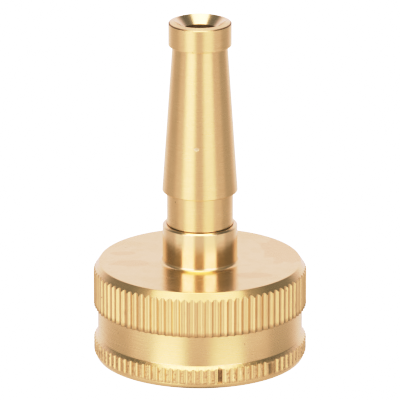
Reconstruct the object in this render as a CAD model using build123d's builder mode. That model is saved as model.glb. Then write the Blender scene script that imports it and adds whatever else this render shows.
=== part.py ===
from build123d import *
from math import pi, tan, radians
import os

# Straight-stream hose nozzle for a 3/4 in hose thread, turned from brass bar.
# Millimetres. The origin is the centre of the coupling's bottom face, and +Z
# runs up the axis towards the outlet. Every radius is measured from that axis.

# ---- coupling nut, outside ----
nut_r = 16.0                # crests of both knurled bands
nut_h = 14.96               # flat top face
lip_foot_r = 15.35          # rounded lip under the lower band
lip_r = 15.76
lip_h = 0.85
band_bevel_h = 0.16         # small bevel where the lower band starts
lower_band_top = 2.97
waist_r = 15.39             # smooth waist between the bands
waist_bottom = 3.56
waist_top = 8.21
upper_band_top = 13.68
top_r = 15.14               # edge of the flat top, above a steep chamfer
boss_r = 5.62
boss_top = 20.86
boss_edge = 0.24
boss_foot_fillet = 0.55
lip_bulge = 0.12

# ---- straight knurling, two bands of equal count ----
knurl_count = 88
upper_land = 0.14           # width of the crest left between two grooves
upper_depth = 0.27
lower_land = 0.42
lower_depth = 0.22
lower_turn = 0.6            # degrees that the lower grooves stand round from the upper ones
knurl_overrun = 0.2         # how far a groove is cut past its band
upper_run_out = 0.6         # how far it climbs the chamfer above the band
lower_run_out = 0.3

# ---- coupling nut, inside ----
thread_pitch = 25.4 / 11.5
thread_minor_r = 12.25
thread_major_r = 13.62
thread_root = 0.28          # flat at the bottom of the thread groove
thread_first_z = 0.54       # the first groove runs out through the mouth's bevel
thread_turns = 4
thread_half_angle = 30.0
thread_overcut = 0.15       # the cutter starts this far inside the minor radius
mouth_r = 13.9
mouth_bevel = mouth_r - thread_minor_r
relief_r = 13.85            # undercut above the thread, which holds the washer
relief_bottom = 8.9
web_bottom = 12.3
boss_bore_r = 4.65
bore_bevel = 0.3

# ---- nozzle tube, outside ----
axial_play = 0.05           # under the neck's shoulder
tail_r = 4.60
tail_end = 9.9
tail_bevel = 0.25
neck_r = 4.96
neck_top = 26.09
cone_foot_r = 5.65
cone_foot_edge = 0.08
cone_top_r = 4.12
collar_bottom = 48.72
collar_r = 4.71
collar_edge_z = 52.16
collar_edge = 0.12
crest_r = 3.85              # highest circle of the outlet
crest_z = 52.41
crest_bulge = 0.03

# ---- nozzle tube, waterway ----
outlet_r = 2.5
inlet_r = 2.8
outlet_depth = crest_r - outlet_r      # 45 degree countersink
converge_bottom = 41.0
converge_top = 44.0
inlet_mouth_r = 3.5
inlet_mouth_h = inlet_mouth_r - inlet_r

# ---- swivel hardware on the tube's tail ----
o_ring_groove_r = 3.85
o_ring_groove_w = 1.35
o_ring_z = 17.0
o_ring_inner_r = 3.86
o_ring_outer_r = 4.62
o_ring_w = 1.15
o_ring_round = 0.34
washer_play = 0.05
thrust_r = 7.0
thrust_bore_r = 4.70
thrust_t = 0.5
thrust_edge = 0.1
clip_t = 1.0
clip_groove_r = 4.30
clip_groove_w = 1.1
clip_inner_r = 4.32
clip_outer_r = 5.90
clip_offset = 0.35          # the clip is widest opposite its gap
clip_gap_angle = 40.0
clip_ear_r = 1.15
clip_ear_at = 5.75
clip_ear_angle = 29.0        # from the middle of the gap to each ear
clip_eye_r = 0.55

# ---- hose washer ----
hose_washer_r = 13.4
hose_washer_hole_r = 7.94
hose_washer_t = 3.0
hose_washer_round = 0.35

thrust_top = web_bottom - washer_play
thrust_bottom = thrust_top - thrust_t
clip_top = thrust_bottom
clip_groove_top = clip_top
clip_groove_bottom = clip_groove_top - clip_groove_w
shoulder_z = boss_top + axial_play

os.makedirs("parts", exist_ok=True)


def groove_radius(land, depth):
    """Radius of the round knurl groove with this land beside it."""
    half_width = (2 * pi * nut_r / knurl_count - land) / 2
    return (half_width ** 2 + depth ** 2) / (2 * depth)


# ---- coupling nut: knurled cap with the hose thread and the swivel boss ----
with BuildPart() as coupling_nut:
    with BuildSketch(Plane.XZ):
        with BuildLine():
            Line((mouth_r, 0), (lip_foot_r, 0))
            SagittaArc((lip_foot_r, 0), (lip_r, lip_h), -lip_bulge)
            Polyline(
                (lip_r, lip_h),
                (nut_r, lip_h + band_bevel_h),
                (nut_r, lower_band_top),
                (waist_r, waist_bottom),
                (waist_r, waist_top),
                (nut_r, waist_top),
                (nut_r, upper_band_top),
                (top_r, nut_h),
                (boss_r, nut_h),
                (boss_r, boss_top - boss_edge),
                (boss_r - boss_edge, boss_top),
                (boss_bore_r, boss_top),
                (boss_bore_r, web_bottom + bore_bevel),
                (boss_bore_r + bore_bevel, web_bottom),
                (relief_r, web_bottom),
                (relief_r, relief_bottom),
                (thread_minor_r, relief_bottom),
                (thread_minor_r, mouth_bevel),
                (mouth_r, 0),
            )
        make_face()
    revolve(axis=Axis.Z)
    top_face_edges = coupling_nut.edges().filter_by_position(Axis.Z, nut_h, nut_h)
    fillet(top_face_edges.filter_by(GeomType.CIRCLE).sort_by(SortBy.RADIUS)[0], boss_foot_fillet)

    # The thread has its true section and pitch, cut as parallel rings without a lead.
    cutter_r = thread_minor_r - thread_overcut
    cutter_half = thread_root / 2 + (thread_major_r - cutter_r) * tan(radians(thread_half_angle))
    with BuildSketch(Plane.XZ):
        for turn in range(thread_turns):
            groove_z = thread_first_z + turn * thread_pitch
            with BuildLine():
                Polyline(
                    (cutter_r, groove_z - cutter_half),
                    (thread_major_r, groove_z - thread_root / 2),
                    (thread_major_r, groove_z + thread_root / 2),
                    (cutter_r, groove_z + cutter_half),
                    close=True,
                )
            make_face()
    revolve(axis=Axis.Z, mode=Mode.SUBTRACT)

    # The knurl grooves run out through the chamfer above each band.
    bands = (
        (waist_top - knurl_overrun, upper_band_top + upper_run_out, upper_land, upper_depth, 0.0),
        (lip_h, lower_band_top + lower_run_out, lower_land, lower_depth, lower_turn),
    )
    for band_bottom, band_top, land, depth, turn in bands:
        radius = groove_radius(land, depth)
        with BuildSketch(Plane.XY.offset(band_bottom)):
            with PolarLocations(nut_r - depth + radius, knurl_count, start_angle=turn):
                Circle(radius)
        extrude(amount=band_top - band_bottom, mode=Mode.SUBTRACT)
coupling_nut.part.label = "coupling_nut"
export_step(coupling_nut.part, "parts/coupling_nut.step")

# ---- nozzle tube: tail, neck, cone and collar turned in one piece ----
with BuildPart() as nozzle_tube:
    with BuildSketch(Plane.XZ):
        with BuildLine():
            Polyline(
                (inlet_mouth_r, tail_end),
                (tail_r - tail_bevel, tail_end),
                (tail_r, tail_end + tail_bevel),
                (tail_r, clip_groove_bottom),
                (clip_groove_r, clip_groove_bottom),
                (clip_groove_r, clip_groove_top),
                (tail_r, clip_groove_top),
                (tail_r, o_ring_z - o_ring_groove_w / 2),
                (o_ring_groove_r, o_ring_z - o_ring_groove_w / 2),
                (o_ring_groove_r, o_ring_z + o_ring_groove_w / 2),
                (tail_r, o_ring_z + o_ring_groove_w / 2),
                (tail_r, shoulder_z),
                (neck_r, shoulder_z),
                (neck_r, neck_top),
                (cone_foot_r - cone_foot_edge, neck_top),
                (cone_foot_r, neck_top + cone_foot_edge),
                (cone_top_r, collar_bottom),
                (collar_r, collar_bottom),
                (collar_r, collar_edge_z - collar_edge),
                (collar_r - collar_edge, collar_edge_z),
            )
            SagittaArc((collar_r - collar_edge, collar_edge_z), (crest_r, crest_z), -crest_bulge)
            Polyline(
                (crest_r, crest_z),
                (outlet_r, crest_z - outlet_depth),
                (outlet_r, converge_top),
                (inlet_r, converge_bottom),
                (inlet_r, tail_end + inlet_mouth_h),
                (inlet_mouth_r, tail_end),
            )
        make_face()
    revolve(axis=Axis.Z)
nozzle_tube.part.label = "nozzle_tube"
export_step(nozzle_tube.part, "parts/nozzle_tube.step")

# ---- tube O-ring: shown squeezed between its groove and the boss bore ----
with BuildPart() as tube_o_ring:
    with BuildSketch(Plane.XZ):
        with Locations(((o_ring_inner_r + o_ring_outer_r) / 2, o_ring_z)):
            RectangleRounded(o_ring_outer_r - o_ring_inner_r, o_ring_w, o_ring_round)
    revolve(axis=Axis.Z)
tube_o_ring.part.label = "tube_o_ring"
export_step(tube_o_ring.part, "parts/tube_o_ring.step")

# ---- thrust washer: turns against the underside of the web ----
with BuildPart() as thrust_washer:
    with BuildSketch(Plane.XY.offset(thrust_bottom)):
        Circle(thrust_r)
        Circle(thrust_bore_r, mode=Mode.SUBTRACT)
    extrude(amount=thrust_t)
    rims = thrust_washer.edges().filter_by(GeomType.CIRCLE).sort_by(SortBy.RADIUS)
    chamfer(rims[-2:], thrust_edge)
thrust_washer.part.label = "thrust_washer"
export_step(thrust_washer.part, "parts/thrust_washer.step")

# ---- retaining clip: open spring ring with two eyed ears, in the tail's groove ----
with BuildPart() as retaining_clip:
    with BuildSketch(Plane.XY.offset(clip_top - clip_t)):
        with Locations((-clip_offset, 0)):
            Circle(clip_outer_r)
        for side in (-1, 1):
            with PolarLocations(clip_ear_at, 1, start_angle=side * clip_ear_angle):
                Circle(clip_ear_r)
        Circle(clip_inner_r, mode=Mode.SUBTRACT)
        with BuildLine():
            reach = 2 * clip_outer_r
            corner = (reach, reach * tan(radians(clip_gap_angle / 2)))
            Polyline((0, 0), corner, (corner[0], -corner[1]), close=True)
        make_face(mode=Mode.SUBTRACT)
        for side in (-1, 1):
            with PolarLocations(clip_ear_at, 1, start_angle=side * clip_ear_angle):
                Circle(clip_eye_r, mode=Mode.SUBTRACT)
    extrude(amount=clip_t)
retaining_clip.part.label = "retaining_clip"
export_step(retaining_clip.part, "parts/retaining_clip.step")

# ---- hose washer: flat rubber seal that the hose end closes on ----
with BuildPart() as hose_washer:
    with BuildSketch(Plane.XY.offset(web_bottom - hose_washer_t)):
        Circle(hose_washer_r)
        Circle(hose_washer_hole_r, mode=Mode.SUBTRACT)
    extrude(amount=hose_washer_t)
    fillet(hose_washer.edges().filter_by(GeomType.CIRCLE), hose_washer_round)
hose_washer.part.label = "hose_washer"
export_step(hose_washer.part, "parts/hose_washer.step")
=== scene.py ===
import random
from math import cos, pi, radians, sin, sqrt, tan

import bmesh
import bpy
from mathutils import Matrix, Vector, noise


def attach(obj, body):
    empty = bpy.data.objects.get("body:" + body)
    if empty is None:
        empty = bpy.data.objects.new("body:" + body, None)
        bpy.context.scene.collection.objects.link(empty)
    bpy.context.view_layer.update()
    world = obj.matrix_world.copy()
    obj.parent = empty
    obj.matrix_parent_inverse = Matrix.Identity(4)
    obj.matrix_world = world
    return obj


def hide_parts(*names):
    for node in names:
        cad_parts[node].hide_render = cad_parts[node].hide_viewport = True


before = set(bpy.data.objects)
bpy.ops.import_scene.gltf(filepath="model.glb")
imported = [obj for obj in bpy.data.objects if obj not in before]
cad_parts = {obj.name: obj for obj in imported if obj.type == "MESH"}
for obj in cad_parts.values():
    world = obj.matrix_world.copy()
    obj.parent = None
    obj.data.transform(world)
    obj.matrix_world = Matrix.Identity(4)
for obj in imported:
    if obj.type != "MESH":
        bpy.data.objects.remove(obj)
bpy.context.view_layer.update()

MM = 0.001

# ---- driving dimensions in millimetres, the same as the CAD's ----
NUT_R = 16.0
NUT_H = 14.96
LIP_FOOT_R = 15.35
LIP_R = 15.76
LIP_H = 0.85
BAND_BEVEL_H = 0.16
LOWER_BAND_TOP = 2.97
WAIST_R = 15.39
WAIST_BOTTOM = 3.56
WAIST_TOP = 8.21
UPPER_BAND_TOP = 13.68
TOP_R = 15.14
BOSS_R = 5.62
BOSS_TOP = 20.86
BOSS_EDGE = 0.24
BOSS_FOOT = 0.55
BORE_BEVEL = 0.3
KNURLS = 88
UPPER_LAND = 0.14
UPPER_DEPTH = 0.27
LOWER_LAND = 0.42
LOWER_DEPTH = 0.22
PITCH = 25.4 / 11.5
THREAD_MINOR_R = 12.25
THREAD_MAJOR_R = 13.62
THREAD_ROOT = 0.28
THREAD_HALF_ANGLE = radians(30)
MOUTH_R = 13.9
RELIEF_R = 13.85
RELIEF_Z = 8.9
WEB_Z = 12.3
BOSS_BORE_R = 4.65
TAIL_R = 4.60
TAIL_END = 9.9
TAIL_BEVEL = 0.25
SHOULDER_Z = BOSS_TOP + 0.05       # the neck's shoulder stands a little above the boss
NECK_R = 4.96
NECK_TOP = 26.09
CONE_FOOT_R = 5.65
CONE_TOP_R = 4.12
COLLAR_Z = 48.72
COLLAR_R = 4.71
COLLAR_TOP = 52.16
COLLAR_EDGE = 0.12
CREST_R = 3.85
CREST_Z = 52.41
OUTLET_R = 2.5
INLET_R = 2.8
INLET_MOUTH_R = 3.5
CONVERGE = (41.0, 44.0)            # where the waterway narrows, bottom and top
O_RING_GROOVE = (3.85, 16.325, 17.675)      # radius, bottom and top
CLIP_GROOVE = (4.30, 10.65, 11.75)

# ---- camera ----
CAMERA_ELEVATION = radians(18.26)
CAMERA_DISTANCE = 0.817
CAMERA_TARGET_Z = 24.44 * MM
CAMERA_LENS = 491.2
CAMERA_SENSOR = 36.0


def make_camera():
    data = bpy.data.cameras.new("camera")
    data.lens = CAMERA_LENS
    data.sensor_width = CAMERA_SENSOR
    data.clip_start = 0.01
    data.clip_end = 20.0
    camera = bpy.data.objects.new("camera", data)
    bpy.context.scene.collection.objects.link(camera)
    back = Vector((0, -cos(CAMERA_ELEVATION), sin(CAMERA_ELEVATION)))
    camera.location = Vector((0, 0, CAMERA_TARGET_Z)) + back * CAMERA_DISTANCE
    camera.rotation_mode = "QUATERNION"
    camera.rotation_quaternion = (-back).to_track_quat("-Z", "Y")
    bpy.context.scene.camera = camera


class Nodes:
    """Short ways to build a node tree."""

    def __init__(self, tree):
        self.tree = tree
        tree.nodes.clear()

    def new(self, kind, **settings):
        node = self.tree.nodes.new(kind)
        for name, value in settings.items():
            setattr(node, name, value)
        return node

    def put(self, socket, value):
        if isinstance(value, bpy.types.NodeSocket):
            self.tree.links.new(value, socket)
        else:
            socket.default_value = value

    def math(self, operation, *values, clamp=False):
        node = self.new("ShaderNodeMath", operation=operation, use_clamp=clamp)
        for socket, value in zip(node.inputs, values):
            self.put(socket, value)
        return node.outputs[0]

    def both(self, a, b):
        return self.math("MULTIPLY", a, b)

    def split(self, vector):
        node = self.new("ShaderNodeSeparateXYZ")
        self.put(node.inputs[0], vector)
        return node.outputs

    def vector(self, operation, a, b):
        node = self.new("ShaderNodeVectorMath", operation=operation)
        self.put(node.inputs[0], a)
        self.put(node.inputs[1], b)
        return node.outputs[0]

    def smooth(self, value, low, high, out_low=0.0, out_high=1.0):
        node = self.new("ShaderNodeMapRange", interpolation_type="SMOOTHSTEP")
        for socket, number in zip(node.inputs, (value, low, high, out_low, out_high)):
            self.put(socket, number)
        return node.outputs[0]

    def fall(self, value, low, high):
        """1 up to the low value, falling to 0 at the high one."""
        return self.smooth(value, low, high, 1.0, 0.0)

    def mix(self, share, a, b):
        node = self.new("ShaderNodeMix", data_type="RGBA", clamp_factor=True)
        self.put(node.inputs["Factor"], share)
        for socket, value in ((node.inputs[6], a), (node.inputs[7], b)):
            if isinstance(value, tuple):
                value = (*value, 1.0)
            self.put(socket, value)
        return node.outputs[2]


# ---- studio: soft light all round, its level given as a function of direction ----
# Each entry is a height on the unit sphere (-1 down, 1 up), a light level and how blue it is.
PANEL_LEVELS = (
    (-0.75, 0.68, 0.97),
    (-0.3, 1.47, 0.90),
    (0.0, 1.70, 0.70),
    (0.18, 2.2, 0.80),
    (0.3, 3.8, 1.65),
    (0.45, 1.6, 0.85),
    (0.7, 1.4, 0.78),
    (0.9, 2.5, 0.80),
)
GAP_LEVELS = (
    (-0.75, 0.68, 0.97),
    (-0.3, 0.72, 0.98),
    (0.18, 0.38, 1.0),
    (0.3, 0.32, 1.5),
    (0.45, 0.6, 0.9),
    (0.7, 1.0, 0.78),
    (0.9, 2.5, 0.80),
)
NEAR_SIDE_LEVELS = (
    (-0.75, 0.68, 0.97),
    (-0.3, 0.95, 1.0),
    (-0.1, 0.62, 1.0),
    (0.15, 0.29, 0.97),
    (0.9, 0.50, 0.85),
)
FAR_SIDE_LEVELS = (
    (-0.75, 0.68, 0.97),
    (-0.32, 0.64, 1.0),
    (-0.2, 0.50, 0.97),
    (0.15, 0.27, 0.97),
    (0.45, 0.30, 0.95),
    (0.7, 0.20, 0.9),
    (0.9, 0.25, 0.9),
)
BACK_LEVELS = (
    (-0.75, 0.68, 0.97),
    (-0.3, 0.83, 1.05),
    (0.0, 0.91, 1.12),
    (0.9, 0.95, 1.16),
)
LIGHT_TINT = (1.084, 0.940, 0.963)
LEVEL_TOP = 4.0
WHITE = 2.0                        # scene light that comes out as pure white
BACKDROP_GLOW = WHITE * 1.02
FILM = (
    (0.0, 0.0),
    (0.05, 0.073),
    (0.1, 0.18),
    (0.2, 0.444),
    (0.3, 0.68),
    (0.45, 0.84),
    (0.65, 0.955),
    (1.0, 1.0),
)
FILM_RED = ((0.0, 0.0), (0.1, 0.093), (0.25, 0.249), (1.0, 1.0))     # shadows lean to green
FILM_GREEN = ((0.0, 0.0), (0.1, 0.103), (0.25, 0.247), (1.0, 1.0))


# The bright panel ahead ends where PANEL_TILT z - y has fallen to PANEL_WIDTH |x| + PANEL_LEAN x.
PANEL_WIDTH = 0.825
PANEL_LEAN = 0.075
PANEL_TILT = 0.20
PANEL_SOFTNESS = 0.08
PANEL_RIGHT_DIM = 0.24             # the panel's right half is darker by this share
PANEL_DIM_FADE = (-5, 5)           # degrees of azimuth between which that sets in
PANEL_DIM_HEIGHTS = (-0.1, 0.3)    # heights between which it weakens
PANEL_DIM_HIGH = 0.3               # to this share
SIDE_RIGHT_DIM = 0.10
SIDE_DIM_FADE = (0.2, 0.6)         # how far right the side's dimming sets in
# Azimuths between which one level fades into the next, in degrees from straight ahead, right positive.
GAP_LEFT_FADE = (-24, -13)
GAP_RIGHT_FADE = (8, 19)
FAR_SIDE_FADE = (74, 90)
BACK_FADE = (114, 146)
UNDER_FADE = (-0.995, -0.94)       # heights between which the light from straight below grows
UNDER_SHARE = 0.25


def level(n, height, entries):
    """The light at this height, from a list of entries as above."""
    ramp = n.new("ShaderNodeValToRGB")
    stops = ramp.color_ramp.elements
    while len(stops) < len(entries):
        stops.new(0.5)
    for stop, (at, _, _) in zip(stops, entries):
        stop.position = (at + 1) / 2
    red, green, blue = LIGHT_TINT
    for stop, (_, value, blueness) in zip(stops, entries):
        share = value / LEVEL_TOP
        stop.color = (share * red, share * green, share * blue * blueness, 1)
    n.put(ramp.inputs[0], n.math("MULTIPLY_ADD", height, 0.5, 0.5))
    return ramp.outputs[0]


def make_studio():
    """A world light: a panel ahead with a darker gap in it, dimmer sides and a soft back."""
    world = bpy.data.worlds.new("studio")
    bpy.context.scene.world = world
    world.use_nodes = True
    n = Nodes(world.node_tree)
    black = (0.0, 0.0, 0.0)
    direction = n.new("ShaderNodeTexCoord").outputs["Generated"]
    x, y, z = n.split(direction)
    towards = n.both(y, -1.0)
    azimuth = n.math("ARCTAN2", x, towards)
    turn = n.math("ABSOLUTE", azimuth)

    edge = n.math("MULTIPLY_ADD", z, PANEL_TILT, towards)
    edge = n.math("SUBTRACT", edge, n.both(n.math("ABSOLUTE", x), PANEL_WIDTH))
    edge = n.math("SUBTRACT", edge, n.both(x, PANEL_LEAN))
    front = n.smooth(edge, -PANEL_SOFTNESS, PANEL_SOFTNESS)

    left_fade = n.smooth(azimuth, *map(radians, GAP_LEFT_FADE))
    gap = n.both(left_fade, n.fall(azimuth, *map(radians, GAP_RIGHT_FADE)))
    right_half = n.smooth(azimuth, *map(radians, PANEL_DIM_FADE))
    right_half = n.both(right_half, n.smooth(z, *PANEL_DIM_HEIGHTS, 1.0, PANEL_DIM_HIGH))
    panel = n.mix(n.both(right_half, PANEL_RIGHT_DIM), level(n, z, PANEL_LEVELS), black)
    ahead = n.mix(gap, panel, level(n, z, GAP_LEVELS))

    far = n.smooth(turn, *map(radians, FAR_SIDE_FADE))
    side = n.mix(far, level(n, z, NEAR_SIDE_LEVELS), level(n, z, FAR_SIDE_LEVELS))
    side = n.mix(n.smooth(x, *SIDE_DIM_FADE, 0.0, SIDE_RIGHT_DIM), side, black)
    behind = n.smooth(turn, *map(radians, BACK_FADE))
    around = n.mix(behind, side, level(n, z, BACK_LEVELS))

    under = n.smooth(z, *UNDER_FADE, UNDER_SHARE, 1.0)
    background = n.new("ShaderNodeBackground")
    n.put(background.inputs["Color"], n.mix(front, around, ahead))
    n.put(background.inputs["Strength"], n.both(under, LEVEL_TOP))
    output = n.new("ShaderNodeOutputWorld")
    n.put(output.inputs["Surface"], background.outputs[0])


def shape_curve(curve, shape):
    """Gives a film curve the points of this shape."""
    while len(curve.points) < len(shape):
        curve.points.new(0.5, 0.5)
    for point, location in zip(curve.points, shape):
        point.location = location


def make_film():
    """Standard colours through a camera's soft S-curve."""
    view = bpy.context.scene.view_settings
    view.view_transform = "Standard"
    view.use_curve_mapping = True
    mapping = view.curve_mapping
    mapping.white_level = (WHITE, WHITE, WHITE)
    red, green, blue, combined = mapping.curves
    shape_curve(combined, FILM)
    shape_curve(red, FILM_RED)
    shape_curve(green, FILM_GREEN)
    mapping.update()


def backdrop_piece(name, points, faces):
    """A glowing sheet that is seen from its front side only and lights nothing."""
    mesh = bpy.data.meshes.new(name)
    mesh.from_pydata(points, [], faces)
    piece = bpy.data.objects.new(name, mesh)
    bpy.context.scene.collection.objects.link(piece)
    material = bpy.data.materials.new(name)
    material.use_nodes = True
    n = Nodes(material.node_tree)
    glow = n.new("ShaderNodeEmission")
    glow.inputs["Strength"].default_value = BACKDROP_GLOW
    clear = n.new("ShaderNodeBsdfTransparent")
    front_or_back = n.new("ShaderNodeMixShader")
    n.put(front_or_back.inputs[0], n.new("ShaderNodeNewGeometry").outputs["Backfacing"])
    n.put(front_or_back.inputs[1], glow.outputs[0])
    n.put(front_or_back.inputs[2], clear.outputs[0])
    output = n.new("ShaderNodeOutputMaterial")
    n.put(output.inputs["Surface"], front_or_back.outputs[0])
    mesh.materials.append(material)
    piece.visible_glossy = False
    piece.visible_diffuse = False
    piece.visible_shadow = False


def make_backdrop():
    """A white floor and white walls that only the camera sees, clear from their outer side."""
    half = 4.0
    high = 4.0
    low = -0.02 * MM               # a hair below the foot
    corners = [(-half, -half), (half, -half), (half, half), (-half, half)]
    floor = [(x, y, low) for x, y in corners]
    backdrop_piece("floor", floor, [(0, 1, 2, 3)])
    walls = [(x, y, z) for z in (low, high) for x, y in corners]
    sides = [(i + 4, (i + 1) % 4 + 4, (i + 1) % 4, i) for i in range(4)]
    backdrop_piece("backdrop", walls, sides + [(7, 6, 5, 4)])


# ---- materials ----
def shader_material(name):
    material = bpy.data.materials.new(name)
    material.use_nodes = True
    n = Nodes(material.node_tree)
    shader = n.new("ShaderNodeBsdfPrincipled")
    output = n.new("ShaderNodeOutputMaterial")
    n.put(output.inputs["Surface"], shader.outputs["BSDF"])
    return material, n, shader


def place(n):
    """Object coordinates in millimetres, the distance from the axis and the height."""
    coords = n.new("ShaderNodeTexCoord").outputs["Object"]
    here = n.vector("MULTIPLY", coords, (1 / MM, 1 / MM, 1 / MM))
    x, y, z = n.split(here)
    radius = n.math("SQRT", n.math("ADD", n.both(x, x), n.both(y, y)))
    return here, radius, z


def noise_of(n, vector, scale, detail=2.0, roughness=0.5):
    node = n.new("ShaderNodeTexNoise")
    n.put(node.inputs["Vector"], vector)
    node.inputs["Scale"].default_value = scale
    node.inputs["Detail"].default_value = detail
    node.inputs["Roughness"].default_value = roughness
    return node.outputs["Fac"]


BRASS = (0.83, 0.64, 0.36)
TARNISH = (0.77, 0.56, 0.295)
BLUSH = (0.78, 0.565, 0.31)          # the tan stains on the flat top
# Dark colour for grime and specks, also used for painted shade in the bore, at the neck's seam, at the
# foot and under the upper band, and for a painted dark reflection on the collar rim.
PALE = (0.87, 0.72, 0.50)            # the polished funnel and boss, and a fresh nick
GRIME_AND_SHADE = (0.16, 0.075, 0.03)
ACETAL = (0.78, 0.76, 0.70)
ACETAL_PALE = (0.84, 0.83, 0.78)
STEEL = (0.30, 0.30, 0.31)
STEEL_PALE = (0.42, 0.42, 0.43)
RUBBER_BLOOM = 1.9                 # how much lighter rubber is where it has bloomed


def stretched(n, here, across, along):
    """Coordinates scaled differently across and along the axis."""
    return n.vector("MULTIPLY", here, (across, across, along))


def specks(n, vector, scale, size, share):
    """Small round marks, in only this share of the cells."""
    cells = n.new("ShaderNodeTexVoronoi", feature="F1")
    n.put(cells.inputs["Vector"], vector)
    cells.inputs["Scale"].default_value = scale
    chosen = n.new("ShaderNodeSeparateColor")
    n.put(chosen.inputs[0], cells.outputs["Color"])
    picked = n.math("LESS_THAN", chosen.outputs[0], share)
    return n.both(picked, n.fall(cells.outputs["Distance"], size * 0.5, size))


def near_point(n, here, point, reach, ragged=0.0):
    """1 near a point and 0 beyond its reach, given as (x, y, z). The rim can be ragged."""
    scaled = n.vector("DIVIDE", n.vector("SUBTRACT", here, point), reach)
    length = n.new("ShaderNodeVectorMath", operation="LENGTH")
    n.put(length.inputs[0], scaled)
    far = length.outputs["Value"]
    if ragged:
        uneven = n.math("SUBTRACT", noise_of(n, here, scale=0.45, detail=3.0), 0.5)
        far = n.math("MULTIPLY_ADD", uneven, ragged, far)
    return n.fall(far, 0.85, 1.0)


STAINS = (                           # (x, y) on the flat top and how far each stain reaches
    ((13.0, 6.2), (3.6, 8.0)),
    ((8.2, -7.2), (3.4, 1.3)),
    ((-10.4, -1.6), (3.4, 1.5)),
    ((-11.6, 3.2), (2.0, 1.0)),
)
NICK = (-0.55, -5.1, 34.0)           # a small bright nick in the cone
NICK_REACH = (0.55, 0.8, 0.36)
# Each ring of painted shade at the neck's seam and of painted dark reflection at the collar rim is
# full up to the first distance from its middle and gone at the second.
SEAM_SHADE_FADE = (0.03, 0.10)             # round the foot of the neck
RIM_REFLECTION_FADE = (0.04, 0.10)              # round the collar's top edge
RIM_REFLECTION_ASIDE = (0.8, 3.2)               # that one sets in between these distances to either side
# The bore's painted shade fades out between these radii.
BORE_SHADE_FADE = (OUTLET_R + 0.02, OUTLET_R + 0.10)


def brass_regions(n, here, radius, z):
    """Masks for the places on the turned pieces that look different from plain turned brass."""
    x, _, _ = n.split(here)

    def above(height):
        return n.math("GREATER_THAN", z, height)

    def below(height):
        return n.math("LESS_THAN", z, height)

    def beyond(distance):
        return n.math("GREATER_THAN", radius, distance)

    def within(distance):
        return n.math("LESS_THAN", radius, distance)

    def ring_at(height, fade):
        return n.fall(n.math("ABSOLUTE", n.math("SUBTRACT", z, height)), *fade)

    # The bore mask darkens the waterway: painted shade.
    bore = n.fall(radius, *BORE_SHADE_FADE)
    funnel = n.both(within(CREST_R - 0.03), above(CONVERGE[1]))
    funnel = n.both(funnel, n.math("SUBTRACT", 1.0, bore))
    seam_shade = n.both(ring_at(BOSS_TOP + 0.02, SEAM_SHADE_FADE), within(NECK_R + 0.12))
    # A painted dark reflection along the collar's top edge, stronger to either side than ahead.
    rim = n.both(ring_at(COLLAR_TOP - 0.05, RIM_REFLECTION_FADE), beyond(CREST_R + 0.4))
    rim = n.both(rim, n.smooth(n.math("ABSOLUTE", x), *RIM_REFLECTION_ASIDE))
    boss = n.both(above(NUT_H + 0.5), below(BOSS_TOP + 0.01))
    waist = n.both(above(WAIST_BOTTOM), below(WAIST_TOP))
    flat_top = n.both(above(NUT_H - 0.02), beyond(BOSS_R + 0.5))
    stain = 0.0
    for (at_x, at_y), (reach_x, reach_y) in STAINS:
        blot = near_point(n, here, (at_x, at_y, NUT_H), (reach_x, reach_y, 1.0), ragged=1.1)
        stain = n.math("MAXIMUM", stain, blot)
    return bore, funnel, seam_shade, rim, boss, waist, n.both(stain, flat_top)


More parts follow.
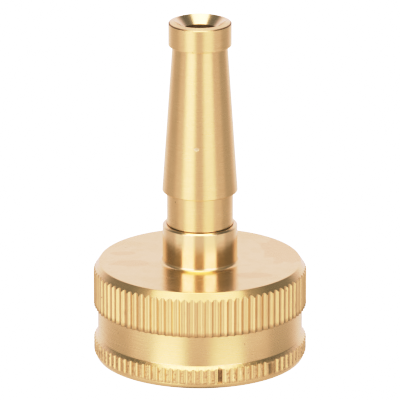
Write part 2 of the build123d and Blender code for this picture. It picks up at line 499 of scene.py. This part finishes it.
def turned_brass(name, roughness, anisotropy, line_height, streak_share):
    """Brass off the lathe: rings left by the tool, faint streaks, tarnish, specks and grit."""
    material, n, shader = shader_material(name)
    here, radius, z = place(n)
    bore, funnel, seam_shade, rim, boss, waist, stain = brass_regions(n, here, radius, z)
    rings = n.new("ShaderNodeTexNoise", noise_dimensions="1D")
    n.put(rings.inputs["W"], n.math("ADD", radius, z))
    rings.inputs["Scale"].default_value = 6.0
    rings.inputs["Detail"].default_value = 3.0
    rings.inputs["Roughness"].default_value = 0.75
    ring = rings.outputs["Fac"]
    drawn_out = stretched(n, here, across=0.5, along=8.0)
    streak = noise_of(n, drawn_out, scale=1.0, detail=3.0, roughness=0.65)
    cloud = noise_of(n, here, scale=0.22, detail=2.0, roughness=0.55)
    cloud = n.smooth(cloud, 0.45, 0.75)
    grain = noise_of(n, here, scale=7.0, detail=3.0, roughness=0.7)
    marks = specks(n, stretched(n, here, across=1.0, along=0.55), scale=0.8, size=0.09, share=0.30)
    nick = near_point(n, here, NICK, NICK_REACH, ragged=0.9)
    grit = n.new("ShaderNodeAttribute", attribute_name="grit").outputs["Fac"]
    # This attribute holds real grit on the lower lands, the chip and the rough groove, and painted
    # shade at the foot and under the upper band.
    dirt_and_shade = n.new("ShaderNodeAttribute", attribute_name="dirt_and_shade").outputs["Fac"]
    # Painted shade in the bore and at the neck's seam, and a painted dark reflection along the
    # collar's top edge, join the grime.
    for mask, share in ((bore, 0.9), (seam_shade, 0.55), (rim, 0.95)):
        dirt_and_shade = n.math("MAXIMUM", dirt_and_shade, n.both(mask, share))
    knurled = n.smooth(grit, 0.05, 0.2)
    gritty = n.smooth(grit, 0.5, 0.9)

    worn = n.both(n.smooth(streak, 0.42, 0.70), streak_share)
    worn = n.math("MAXIMUM", worn, n.both(cloud, 0.35))
    worn = n.math("ADD", worn, n.both(gritty, n.smooth(grain, 0.35, 0.62, 0.9, 0.0)))
    soiled_and_shaded = n.both(dirt_and_shade, n.smooth(grain, 0.2, 0.7, 1.0, 0.6))
    # The bore is darkened further: painted shade inside the waterway.
    soiled_and_shaded = n.math("MAXIMUM", soiled_and_shaded, n.both(bore, 0.86))
    colour = n.mix(n.both(stain, 0.9), BRASS, BLUSH)
    colour = n.mix(worn, colour, TARNISH)
    for mask, share in ((funnel, 0.7), (boss, 0.3), (nick, 0.9)):
        colour = n.mix(n.both(mask, share), colour, PALE)
    colour = n.mix(n.both(marks, 0.55), colour, GRIME_AND_SHADE)
    n.put(shader.inputs["Base Color"], n.mix(soiled_and_shaded, colour, GRIME_AND_SHADE))
    shader.inputs["Metallic"].default_value = 1.0

    ringed = n.both(n.math("SUBTRACT", ring, 0.5), n.math("MULTIPLY_ADD", knurled, -0.8, 1.0))
    rough = n.math("MULTIPLY_ADD", ringed, 0.12, roughness)
    rough = n.math("MULTIPLY_ADD", n.math("SUBTRACT", streak, 0.5), 0.14, rough)
    rougher = ((cloud, 0.03), (grit, 0.22), (stain, 0.02), (waist, 0.05), (dirt_and_shade, 0.3))
    smoother = ((boss, -0.06), (funnel, -0.12))
    for mask, change in rougher + smoother:
        rough = n.math("MULTIPLY_ADD", mask, change, rough)
    n.put(shader.inputs["Roughness"], rough)
    shader.inputs["Anisotropic"].default_value = anisotropy
    shader.inputs["Anisotropic Rotation"].default_value = 0.25
    tangent = n.new("ShaderNodeTangent", direction_type="RADIAL", axis="Z")
    n.put(shader.inputs["Tangent"], tangent.outputs[0])

    height = n.both(n.math("ADD", ring, streak), line_height)
    height = n.both(height, n.math("SUBTRACT", 1.0, knurled))
    for mask, change in ((n.both(gritty, grain), 0.05), (marks, -0.01), (nick, -0.03)):
        height = n.math("MULTIPLY_ADD", mask, change, height)
    bump = n.new("ShaderNodeBump")
    bump.inputs["Strength"].default_value = 1.0
    bump.inputs["Distance"].default_value = MM
    n.put(bump.inputs["Height"], height)
    n.put(shader.inputs["Normal"], bump.outputs[0])
    return material


def rubber(name, grey):
    """Dull dark rubber with a fine grain and a faint bloom."""
    material, n, shader = shader_material(name)
    here, _, _ = place(n)
    grain = noise_of(n, here, scale=6.0, detail=3.0)
    bloom = noise_of(n, here, scale=0.4, detail=2.0)
    dark = (grey, grey, grey)
    bloomed = tuple(RUBBER_BLOOM * channel for channel in dark)
    n.put(shader.inputs["Base Color"], n.mix(bloom, dark, bloomed))
    n.put(shader.inputs["Roughness"], n.smooth(grain, 0.3, 0.7, 0.55, 0.72))
    bump = n.new("ShaderNodeBump")
    bump.inputs["Strength"].default_value = 0.5
    bump.inputs["Distance"].default_value = 0.02 * MM
    n.put(bump.inputs["Height"], grain)
    n.put(shader.inputs["Normal"], bump.outputs[0])
    return material


def acetal(name):
    """Off-white plastic, slightly mottled."""
    material, n, shader = shader_material(name)
    here, _, _ = place(n)
    mottle = noise_of(n, here, scale=0.8, detail=2.0)
    n.put(shader.inputs["Base Color"], n.mix(mottle, ACETAL, ACETAL_PALE))
    n.put(shader.inputs["Roughness"], n.smooth(mottle, 0.3, 0.7, 0.35, 0.5))
    return material


def spring_steel(name):
    """Grey stamped steel with a fine grain."""
    material, n, shader = shader_material(name)
    here, _, _ = place(n)
    grain = noise_of(n, here, scale=5.0, detail=4.0)
    n.put(shader.inputs["Base Color"], n.mix(grain, STEEL, STEEL_PALE))
    shader.inputs["Metallic"].default_value = 1.0
    n.put(shader.inputs["Roughness"], n.smooth(grain, 0.3, 0.7, 0.28, 0.45))
    return material


# ---- turned pieces: an outline of (radius, height, edge radius) spun round the axis ----
EDGE_STEPS = 4
SHARP = radians(30)                # edges turned more than this stay crisp
TUBE_COLUMNS = 192
CONE_FOOT_BEVEL = (0.06, 0.08)     # inwards and upwards
COLLAR_FOOT_BEVEL = (0.04, 0.06)


def rounded(outline):
    """The outline with each corner that has an edge radius turned into a small arc."""
    made = []
    count = len(outline)
    for i, (r, z, edge) in enumerate(outline):
        if not edge:
            made.append((r, z))
            continue
        here = Vector((r, z))
        before = Vector(outline[i - 1][:2]) - here
        after = Vector(outline[(i + 1) % count][:2]) - here
        reach = min(edge / tan(before.angle(after) / 2), 0.45 * before.length, 0.45 * after.length)
        start = here + before.normalized() * reach
        end = here + after.normalized() * reach
        for step in range(EDGE_STEPS + 1):
            t = step / EDGE_STEPS
            point = start.lerp(here, t).lerp(here.lerp(end, t), t)
            made.append((point.x, point.y))
    return made


HOLD = 0.05                        # distance of the extra points from a straight run's ends


def held(points, closed=False):
    """Extra points near the ends of long straight runs, so that they shade as flat."""
    made = []
    count = len(points)
    for i, point in enumerate(points):
        made.append(point)
        if i == count - 1 and not closed:
            break
        here = Vector(point)
        there = Vector(points[(i + 1) % count])
        run = there - here
        if run.length > 5 * HOLD:
            step = run.normalized() * HOLD
            made += [tuple(here + step), tuple(there - step)]
    return made


def finish_piece(name, mesh, body, material, node):
    """Links the mesh, turns its faces outwards, smooths it, ties it to its body and hides the CAD node
    it replaces.
    """
    piece = bpy.data.objects.new(name, mesh)
    bpy.context.scene.collection.objects.link(piece)
    form = bmesh.new()
    form.from_mesh(mesh)
    bmesh.ops.recalc_face_normals(form, faces=form.faces)
    form.to_mesh(mesh)
    form.free()
    mesh.shade_smooth()
    mesh.set_sharp_from_angle(angle=SHARP)
    mesh.materials.append(material)
    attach(piece, body)
    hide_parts(node)
    return piece


def spun(name, outline, columns, body, material, node):
    """A piece made by turning an outline round the axis."""
    outline = held(rounded(outline), closed=True)
    rows = len(outline)
    points = []
    faces = []
    for column in range(columns):
        a = 2 * pi * column / columns
        points += [(r * cos(a) * MM, r * sin(a) * MM, z * MM) for r, z in outline]
        here = column * rows
        there = (column + 1) % columns * rows
        for row in range(rows):
            above = (row + 1) % rows
            faces.append((here + row, there + row, there + above, here + above))
    mesh = bpy.data.meshes.new(name)
    mesh.from_pydata(points, [], faces)
    return finish_piece(name, mesh, body, material, node)


def tube_outline():
    """(radius, height, edge radius) from the tail's mouth, up the outside and down the waterway."""
    edge = 0.05
    clip_r, clip_bottom, clip_top = CLIP_GROOVE
    ring_r, ring_bottom, ring_top = O_RING_GROOVE
    narrow_bottom, narrow_top = CONVERGE
    foot_in, foot_up = CONE_FOOT_BEVEL
    under_in, under_up = COLLAR_FOOT_BEVEL
    return [
        (INLET_MOUTH_R, TAIL_END, edge),
        (TAIL_R - TAIL_BEVEL, TAIL_END, edge),
        (TAIL_R, TAIL_END + TAIL_BEVEL, edge),
        (TAIL_R, clip_bottom, edge),
        (clip_r, clip_bottom, 0),
        (clip_r, clip_top, 0),
        (TAIL_R, clip_top, edge),
        (TAIL_R, ring_bottom, edge),
        (ring_r, ring_bottom, 0),
        (ring_r, ring_top, 0),
        (TAIL_R, ring_top, edge),
        (TAIL_R, SHOULDER_Z, 0),
        (NECK_R, SHOULDER_Z, 0.04),
        (NECK_R, NECK_TOP, 0.05),
        (CONE_FOOT_R - foot_in, NECK_TOP, 0.03),
        (CONE_FOOT_R, NECK_TOP + foot_up, 0.06),
        (CONE_TOP_R, COLLAR_Z, 0.05),
        (COLLAR_R - under_in, COLLAR_Z, 0.04),
        (COLLAR_R, COLLAR_Z + under_up, 0.05),
        (COLLAR_R, COLLAR_TOP - COLLAR_EDGE, 0.025),
        (COLLAR_R - COLLAR_EDGE, COLLAR_TOP, 0.025),
        (CREST_R, CREST_Z, 0.06),
        (OUTLET_R, CREST_Z - (CREST_R - OUTLET_R), 0.05),
        (OUTLET_R, narrow_top, 0),
        (INLET_R, narrow_bottom, 0),
        (INLET_R, TAIL_END + INLET_MOUTH_R - INLET_R, 0),
    ]


# ---- coupling nut: fine columns round the knurled outside, coarser ones elsewhere ----
FINE = 12                        # columns for each knurl groove
COARSE = 3
LOWER_TURN = radians(0.6)        # how far the lower grooves stand round from the upper ones
CHIPPED_LAND = radians(-90 + 10.7)     # a pit between two lower grooves
ROUGH_GROOVE = radians(-90 + 41.4)     # a lower groove that the knurling left rough
GRIT_HEIGHT = 0.07
CHIP_DEPTH = 0.30
LIP_BULGE = 0.10
LIP_START = 0.16                 # the lip's curve starts this share of the way up from the foot
LIP_STEPS = 5
LOWER_ROWS = 13
UPPER_ROWS = 8
THREAD_ROWS = 84
JOIN_INSET = 0.5                 # how far in from the edge of a flat the inner columns end
UNEVEN_DEPTH = 0.07              # share by which a groove can be deeper or shallower
UNEVEN_PLACE = 0.02              # how far it can stand to one side
LAND_BLEND = 0.05                # width over which a groove's edge turns into land
CHIP_REACH = 0.22                # half widths, as shares of the pitch
ROUGH_REACH = 0.42
ROUGH_CUT = 0.35                 # the rough groove's share of the depth
ROUGH_SCALE = 3.2                # lumps and grains for each millimetre on the lower lands
FINE_SCALE = 7.0
ROUGH_SLICE = 5.0                # where in the noise each of them is taken
FINE_SLICE = 9.0
NICK_SCALE = 1.1                 # nicks in the upper band's crests
NICK_SLICE = 2.0
NICK_LEVEL = 0.45                # only noise above this makes a nick
NICK_DEPTH = 0.25
PITCH_ANGLE = 2 * pi / KNURLS
rng = random.Random(11)
UPPER_WOBBLE = [rng.uniform(-1, 1) for _ in range(KNURLS)]
LOWER_WOBBLE = [rng.uniform(-1, 1) for _ in range(KNURLS)]


def turn_between(angle, other):
    return abs((angle - other + pi) % (2 * pi) - pi)


def noise_at(angle, z, scale, slice_at):
    """Smooth noise over the nut's side, about -1 to 1."""
    return noise.noise(Vector((angle * NUT_R * scale, z * scale, slice_at)))


def groove(angle, land, depth, wobble):
    """Depth of the knurl at this angle, and how far out on the land it is, from 0 to 1."""
    index = round(angle / PITCH_ANGLE)
    uneven = wobble[index % KNURLS]
    half_width = (PITCH_ANGLE * NUT_R - land) / 2
    depth = depth * (1 + UNEVEN_DEPTH * uneven)
    radius = (half_width ** 2 + depth ** 2) / (2 * depth)
    across = abs((angle - index * PITCH_ANGLE) * NUT_R + UNEVEN_PLACE * uneven)
    if across >= half_width:
        return 0.0, 1.0
    cut = sqrt(radius ** 2 - across ** 2) - (radius - depth)
    return cut, max(0.0, min(1.0, (across - half_width + LAND_BLEND) / LAND_BLEND))


def lip_and_foot():
    """(radius, height, grit, grime and painted shade) up the foot's edge and the rounded lip below the
    lower band; the darkening at the foot is painted contact shadow.
    """
    # The first points darken the foot's edge: painted contact shadow.
    points = [
        (LIP_FOOT_R - 0.12, 0.0, 0, 0.5),
        (LIP_FOOT_R - 0.03, 0.02, 0, 0.8),
        (LIP_FOOT_R + 0.04, 0.07, 0, 0.6),
    ]
    for step in range(LIP_STEPS + 1):
        t = LIP_START + (1 - LIP_START) * step / LIP_STEPS
        bulge = LIP_BULGE * 4 * t * (1 - t)
        # Where the lip starts, a little painted contact shadow.
        dirt_and_shade = 0.3 if step == 0 else 0.0
        points.append((LIP_FOOT_R + (LIP_R - LIP_FOOT_R) * t + bulge, LIP_H * t - bulge / 2, 0, dirt_and_shade))
    return points


def lower_band(angle):
    """The short lower band: gritty lands, one chipped land and one rough groove."""
    cut, land = groove(angle - LOWER_TURN, LOWER_LAND, LOWER_DEPTH, LOWER_WOBBLE)
    chip = turn_between(angle, CHIPPED_LAND) < PITCH_ANGLE * CHIP_REACH
    rough_groove = turn_between(angle, ROUGH_GROOVE) < PITCH_ANGLE * ROUGH_REACH
    if rough_groove:
        cut *= ROUGH_CUT
        land = 1.0
    if chip:
        cut = CHIP_DEPTH
    radius = NUT_R - cut
    slope = (WAIST_BOTTOM - LOWER_BAND_TOP) / (NUT_R - WAIST_R)
    rise = (radius - LIP_R) / (NUT_R - LIP_R) * BAND_BEVEL_H
    bottom = LIP_H + max(rise, 0.02)
    top = LOWER_BAND_TOP + cut * slope
    points = []
    for row in range(LOWER_ROWS + 1):
        t = row / LOWER_ROWS
        z = bottom + (top - bottom) * t
        fade = min(1.0, 6 * t, 6 * (1 - t))
        rough = noise_at(angle, z, ROUGH_SCALE, ROUGH_SLICE)
        fine = noise_at(angle, z, FINE_SCALE, FINE_SLICE)
        grit = land * (0.75 + 0.5 * rough)
        sunk = land * fade * GRIT_HEIGHT * max(0.0, 0.35 + rough + 0.6 * fine)
        dirt_and_shade = 0.7 * land * fade * max(0.0, 0.1 + rough + fine)
        if chip:
            dirt_and_shade = 0.95 * fade
        if rough_groove:
            dirt_and_shade = 0.5 * fade
        ease = 0.04 if row == 0 else 0.0
        points.append((radius - sunk - ease, z, grit, dirt_and_shade))
    return points


def waist():
    """The smooth waist, with the dark line under the upper band: painted shade under the band's
    overhang.
    """
    return [
        (WAIST_R + 0.05, WAIST_BOTTOM - 0.05, 0, 0),
        (WAIST_R + 0.01, WAIST_BOTTOM + 0.01, 0, 0),
        (WAIST_R, WAIST_BOTTOM + 0.06, 0, 0),
        (WAIST_R, WAIST_TOP - 0.06, 0, 0),
        (WAIST_R, WAIST_TOP - 0.01, 0, 0.3),
        (WAIST_R + 0.03, WAIST_TOP, 0, 0.4),
    ]


def upper_band(angle):
    """The upper band with small nicks in its crests, and the chamfer up to the flat top."""
    cut, crest = groove(angle, UPPER_LAND, UPPER_DEPTH, UPPER_WOBBLE)
    radius = NUT_R - cut
    slope = (NUT_H - UPPER_BAND_TOP) / (NUT_R - TOP_R)
    bottom = WAIST_TOP + 0.09
    top = UPPER_BAND_TOP + cut * slope
    # The first points darken the band's underside: painted shade under its overhang.
    points = [(radius - 0.08, WAIST_TOP, 0, 0.8), (radius - 0.03, WAIST_TOP + 0.02, 0, 0.9)]
    for row in range(UPPER_ROWS + 1):
        z = bottom + (top - bottom) * row / UPPER_ROWS
        nick = max(0.0, noise_at(angle, z, NICK_SCALE, NICK_SLICE) - NICK_LEVEL)
        # The bottom row is painted shade under the band; the nicks in the crests are real marks.
        dirt_and_shade = 0.55 if row == 0 else nick
        points.append((radius - NICK_DEPTH * nick * crest, z, 0.40 + 0.08 * crest, dirt_and_shade))
    points += [
        (radius - 0.06, top + 0.06 * slope, 0, 0),
        (TOP_R + 0.08, NUT_H - 0.08 * slope, 0, 0),
        (TOP_R + 0.03, NUT_H - 0.04, 0, 0),
        (TOP_R - 0.01, NUT_H - 0.01, 0, 0),
        (TOP_R - 0.07, NUT_H, 0, 0),
    ]
    return points


def outer_column(angle):
    """(radius, height, grit, grime and painted shade) up the nut's outside, from the foot to the flat
    top.
    """
    return lip_and_foot() + lower_band(angle) + waist() + upper_band(angle)


def thread_radius(angle, z):
    """The right-hand thread's radius, with the bevel at the nut's mouth."""
    phase = (z / PITCH - angle / (2 * pi)) % 1.0
    from_root = abs(phase - 0.5) * PITCH - THREAD_ROOT / 2
    cut = THREAD_MAJOR_R - max(from_root, 0.0) / tan(THREAD_HALF_ANGLE)
    return max(THREAD_MINOR_R, cut, MOUTH_R - z)


def inner_column(angle):
    """The rest of the nut's section, from the flat top in, down the bore and out to the foot."""
    outline = [
        (TOP_R - JOIN_INSET, NUT_H, 0),
        (BOSS_R, NUT_H, BOSS_FOOT),
        (BOSS_R, BOSS_TOP - BOSS_EDGE, 0.12),
        (BOSS_R - BOSS_EDGE, BOSS_TOP, 0.08),
        (BOSS_BORE_R, BOSS_TOP, 0.05),
        (BOSS_BORE_R, WEB_Z + BORE_BEVEL, 0),
        (BOSS_BORE_R + BORE_BEVEL, WEB_Z, 0),
        (RELIEF_R, WEB_Z, 0.15),
        (RELIEF_R, RELIEF_Z, 0),
    ]
    section = held(rounded(outline))
    for row in range(THREAD_ROWS + 1):
        z = RELIEF_Z * (1 - row / THREAD_ROWS)
        section.append((thread_radius(angle, z), z))
    section.append((MOUTH_R + JOIN_INSET, 0.0))
    return [(r, z, 0, 0) for r, z in section]


def make_nut(material):
    """The nut: fine outer columns and coarser inner ones, joined on the flat top and at the foot."""
    points = []
    grits = []
    dirt_and_shade_values = []
    faces = []

    def add_columns(column, count):
        """Adds columns of points round the axis, joined by quads. Gives the first index and rows."""
        first = len(points)
        rows = 0
        for i in range(count):
            a = 2 * pi * i / count
            section = column(a)
            rows = len(section)
            points.extend((r * cos(a) * MM, r * sin(a) * MM, z * MM) for r, z, _, _ in section)
            grits.extend(grit for _, _, grit, _ in section)
            dirt_and_shade_values.extend(dirt_and_shade for _, _, _, dirt_and_shade in section)
            here = first + i * rows
            there = first + (i + 1) % count * rows
            for row in range(rows - 1):
                faces.append((here + row, there + row, there + row + 1, here + row + 1))
        return first, rows

    fine = KNURLS * FINE
    coarse = KNURLS * COARSE
    ratio = fine // coarse
    outer_first, outer_rows = add_columns(outer_column, fine)
    inner_first, inner_rows = add_columns(inner_column, coarse)
    for i in range(coarse):
        here = inner_first + i * inner_rows
        there = inner_first + (i + 1) % coarse * inner_rows
        ring = [outer_first + (i * ratio + k) % fine * outer_rows for k in range(ratio + 1)]
        faces.append((*[corner + outer_rows - 1 for corner in ring], there, here))
        faces.append((*ring, there + inner_rows - 1, here + inner_rows - 1))
    mesh = bpy.data.meshes.new("coupling_nut_turned")
    mesh.from_pydata(points, [], faces)
    for name, values in (("grit", grits), ("dirt_and_shade", dirt_and_shade_values)):
        layer = mesh.attributes.new(name, "FLOAT", "POINT")
        layer.data.foreach_set("value", [float(value) for value in values])
    return finish_piece(mesh.name, mesh, "coupling", material, "coupling_nut")


def dress(node, material):
    """Gives a CAD node that keeps its mesh this material."""
    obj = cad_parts[node]
    obj.data.materials.clear()
    obj.data.materials.append(material)


make_camera()
make_studio()
make_film()
make_backdrop()
nut_brass = turned_brass(
    "nut_brass", roughness=0.23, anisotropy=0.6, line_height=0.003, streak_share=0.3
)
tube_brass = turned_brass(
    "tube_brass", roughness=0.30, anisotropy=0.7, line_height=0.004, streak_share=0.5
)
make_nut(nut_brass)
spun("nozzle_tube_turned", tube_outline(), TUBE_COLUMNS, "tube", tube_brass, "nozzle_tube")
dress("hose_washer", rubber("washer_rubber", grey=0.02))
dress("tube_o_ring", rubber("o_ring_rubber", grey=0.012))
dress("thrust_washer", acetal("thrust_acetal"))
dress("retaining_clip", spring_steel("spring_steel"))
